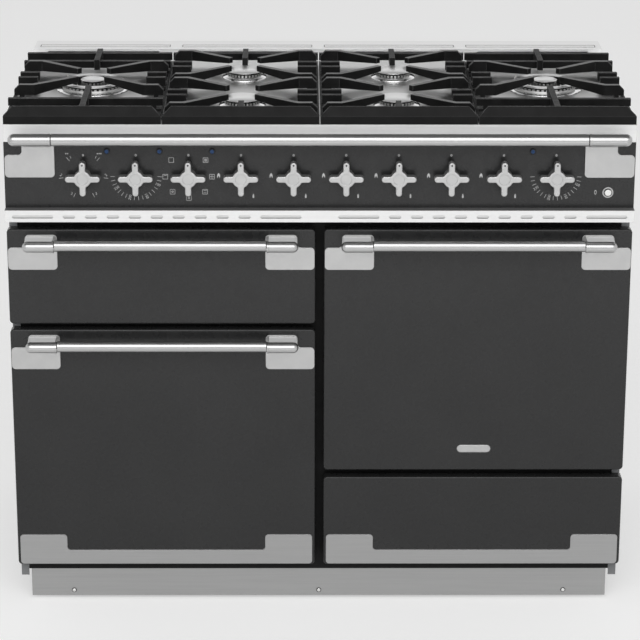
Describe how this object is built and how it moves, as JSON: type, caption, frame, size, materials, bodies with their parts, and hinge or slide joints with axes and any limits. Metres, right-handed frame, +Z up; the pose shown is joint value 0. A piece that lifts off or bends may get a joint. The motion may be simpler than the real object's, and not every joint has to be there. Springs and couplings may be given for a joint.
{
  "type": "dual fuel range cooker",
  "caption": "Free-standing wide range cooker with gas hob, cast pan supports, hinged grill and oven doors, storage drawer, turning knobs and a front hand rail.",
  "frame": {"origin": "on the floor, under the middle of the outer box", "axes": "+X to the right as seen from the front, +Y to the back, +Z up"},
  "size_m": [1.092, 0.652, 0.935],
  "materials": {
    "charcoal_paint": "satin powder coat",
    "black_paint": "matt black",
    "grey_paint": "satin grey",
    "galvanised": "dull zinc",
    "enamel": "gloss enamel",
    "stainless": "brushed",
    "satin_metal": "satin nickel",
    "bright_metal": "polished",
    "cast_iron": "matt black",
    "cast_aluminium": "cast",
    "cap_steel": "polished",
    "heater_sheath": "heat-darkened",
    "seal_rubber": "matt",
    "foot_plastic": "matt",
    "tap_brass": "cast",
    "blue_lens": "clear blue"
  },
  "bodies": {
    "body": {"base_frame": "galvanised", "side_panels": "grey_paint", "rear_panel": "galvanised", "front_frame": "black_paint", "hinge_pins": "galvanised", "plinth": "stainless", "plinth_screws": "bright_metal", "left_oven_chamber": "enamel", "right_oven_chamber": "enamel", "grill_chamber": "enamel", "door_seals": "seal_rubber", "oven_shelves": "bright_metal", "grill_pan": "enamel", "heating_elements": "heater_sheath", "fan_motors": "galvanised", "drawer_runners": "galvanised", "control_panel": "charcoal_paint", "vent_strip": "stainless", "hand_rail": "satin_metal", "gas_rail_and_controls": "tap_brass", "indicator_lamps": "blue_lens", "hob_tray": "stainless", "rear_vent_trim": "stainless", "burner_bases": "cast_aluminium", "burner_heads": "cast_aluminium", "burner_caps": "cap_steel"},
    "grill_door": {"grill_door_panel": "charcoal_paint", "grill_door_liner": "enamel", "grill_door_handle": "satin_metal"},
    "left_oven_door": {"left_oven_door_panel": "charcoal_paint", "left_oven_door_liner": "enamel", "left_oven_door_handle": "satin_metal", "left_oven_door_trim": "stainless"},
    "right_oven_door": {"right_oven_door_panel": "charcoal_paint", "right_oven_door_liner": "enamel", "right_oven_door_handle": "satin_metal"},
    "drawer": {"drawer_front": "charcoal_paint", "drawer_trim": "stainless", "drawer_box": "black_paint"},
    "grill_knob": {"grill_knob": "satin_metal"},
    "left_oven_heat_knob": {"left_oven_heat_knob": "satin_metal"},
    "left_oven_mode_knob": {"left_oven_mode_knob": "satin_metal"},
    "burner_knob_1": {"burner_knob_1": "satin_metal"},
    "burner_knob_2": {"burner_knob_2": "satin_metal"},
    "burner_knob_3": {"burner_knob_3": "satin_metal"},
    "burner_knob_4": {"burner_knob_4": "satin_metal"},
    "burner_knob_5": {"burner_knob_5": "satin_metal"},
    "burner_knob_6": {"burner_knob_6": "satin_metal"},
    "right_oven_heat_knob": {"right_oven_heat_knob": "satin_metal"},
    "ignition_button": {"ignition_button": "bright_metal"},
    "left_outer_pan_support": {"left_outer_pan_support": "cast_iron"},
    "left_inner_pan_support": {"left_inner_pan_support": "cast_iron"},
    "right_outer_pan_support": {"right_outer_pan_support": "cast_iron"},
    "right_inner_pan_support": {"right_inner_pan_support": "cast_iron"},
    "left_front_foot": {"left_front_foot": "foot_plastic"},
    "left_rear_roller": {"left_rear_roller": "foot_plastic"},
    "right_front_foot": {"right_front_foot": "foot_plastic"},
    "right_rear_roller": {"right_rear_roller": "foot_plastic"},
    "left_oven_fan": {"left_oven_fan": "galvanised"},
    "right_oven_fan": {"right_oven_fan": "galvanised"}
  },
  "joints": [
    {"name": "grill_door_hinge", "type": "hinge", "parent": "body", "child": "grill_door", "pos_m": [-0.27675, -0.272, 0.5545], "axis": [1, 0, 0], "range_deg": [0, 90]},
    {"name": "left_oven_door_hinge", "type": "hinge", "parent": "body", "child": "left_oven_door", "pos_m": [-0.27675, -0.272, 0.093], "axis": [1, 0, 0], "range_deg": [0, 90]},
    {"name": "right_oven_door_hinge", "type": "hinge", "parent": "body", "child": "right_oven_door", "pos_m": [0.27675, -0.272, 0.2775], "axis": [1, 0, 0], "range_deg": [0, 90]},
    {"name": "drawer_slide", "type": "slide", "parent": "body", "child": "drawer", "axis": [0, -1, 0], "range_m": [0, 0.36]},
    {"name": "grill_knob_turn", "type": "hinge", "parent": "body", "child": "grill_knob", "pos_m": [-0.40905, -0.282, 0.8138], "axis": [0, 1, 0], "range_deg": [-150, 150]},
    {"name": "left_oven_heat_knob_turn", "type": "hinge", "parent": "body", "child": "left_oven_heat_knob", "pos_m": [-0.31815, -0.282, 0.8138], "axis": [0, 1, 0], "range_deg": [0, 275]},
    {"name": "left_oven_mode_knob_turn", "type": "hinge", "parent": "body", "child": "left_oven_mode_knob", "pos_m": [-0.22725, -0.282, 0.8138], "axis": [0, 1, 0], "continuous": true},
    {"name": "burner_knob_1_turn", "type": "hinge", "parent": "body", "child": "burner_knob_1", "pos_m": [-0.13635, -0.282, 0.8138], "axis": [0, -1, 0], "range_deg": [0, 210]},
    {"name": "burner_knob_2_turn", "type": "hinge", "parent": "body", "child": "burner_knob_2", "pos_m": [-0.04545, -0.282, 0.8138], "axis": [0, -1, 0], "range_deg": [0, 210]},
    {"name": "burner_knob_3_turn", "type": "hinge", "parent": "body", "child": "burner_knob_3", "pos_m": [0.04545, -0.282, 0.8138], "axis": [0, -1, 0], "range_deg": [0, 210]},
    {"name": "burner_knob_4_turn", "type": "hinge", "parent": "body", "child": "burner_knob_4", "pos_m": [0.13635, -0.282, 0.8138], "axis": [0, -1, 0], "range_deg": [0, 210]},
    {"name": "burner_knob_5_turn", "type": "hinge", "parent": "body", "child": "burner_knob_5", "pos_m": [0.22725, -0.282, 0.8138], "axis": [0, -1, 0], "range_deg": [0, 210]},
    {"name": "burner_knob_6_turn", "type": "hinge", "parent": "body", "child": "burner_knob_6", "pos_m": [0.31815, -0.282, 0.8138], "axis": [0, -1, 0], "range_deg": [0, 210]},
    {"name": "right_oven_heat_knob_turn", "type": "hinge", "parent": "body", "child": "right_oven_heat_knob", "pos_m": [0.40905, -0.282, 0.8138], "axis": [0, 1, 0], "range_deg": [0, 275]},
    {"name": "ignition_button_push", "type": "slide", "parent": "body", "child": "ignition_button", "axis": [0, 1, 0], "range_m": [0, 0.003], "stiffness_N_per_m": 600},
    {"name": "left_outer_pan_support_lift", "type": "slide", "parent": "body", "child": "left_outer_pan_support", "axis": [0, 0, 1], "range_m": [0, 0.12]},
    {"name": "left_inner_pan_support_lift", "type": "slide", "parent": "body", "child": "left_inner_pan_support", "axis": [0, 0, 1], "range_m": [0, 0.12]},
    {"name": "right_outer_pan_support_lift", "type": "slide", "parent": "body", "child": "right_outer_pan_support", "axis": [0, 0, 1], "range_m": [0, 0.12]},
    {"name": "right_inner_pan_support_lift", "type": "slide", "parent": "body", "child": "right_inner_pan_support", "axis": [0, 0, 1], "range_m": [0, 0.12]},
    {"name": "left_front_foot_turn", "type": "hinge", "parent": "body", "child": "left_front_foot", "pos_m": [-0.47, -0.204, 0], "axis": [0, 0, 1], "continuous": true},
    {"name": "left_rear_roller_roll", "type": "hinge", "parent": "body", "child": "left_rear_roller", "pos_m": [-0.47, 0.266, 0.022], "axis": [1, 0, 0], "continuous": true},
    {"name": "right_front_foot_turn", "type": "hinge", "parent": "body", "child": "right_front_foot", "pos_m": [0.47, -0.204, 0], "axis": [0, 0, 1], "continuous": true},
    {"name": "right_rear_roller_roll", "type": "hinge", "parent": "body", "child": "right_rear_roller", "pos_m": [0.47, 0.266, 0.022], "axis": [1, 0, 0], "continuous": true},
    {"name": "left_oven_fan_spin", "type": "hinge", "parent": "body", "child": "left_oven_fan", "pos_m": [-0.27675, 0.1695, 0.3065], "axis": [0, 1, 0], "continuous": true},
    {"name": "right_oven_fan_spin", "type": "hinge", "parent": "body", "child": "right_oven_fan", "pos_m": [0.27675, 0.1695, 0.491], "axis": [0, 1, 0], "continuous": true}
  ]
}
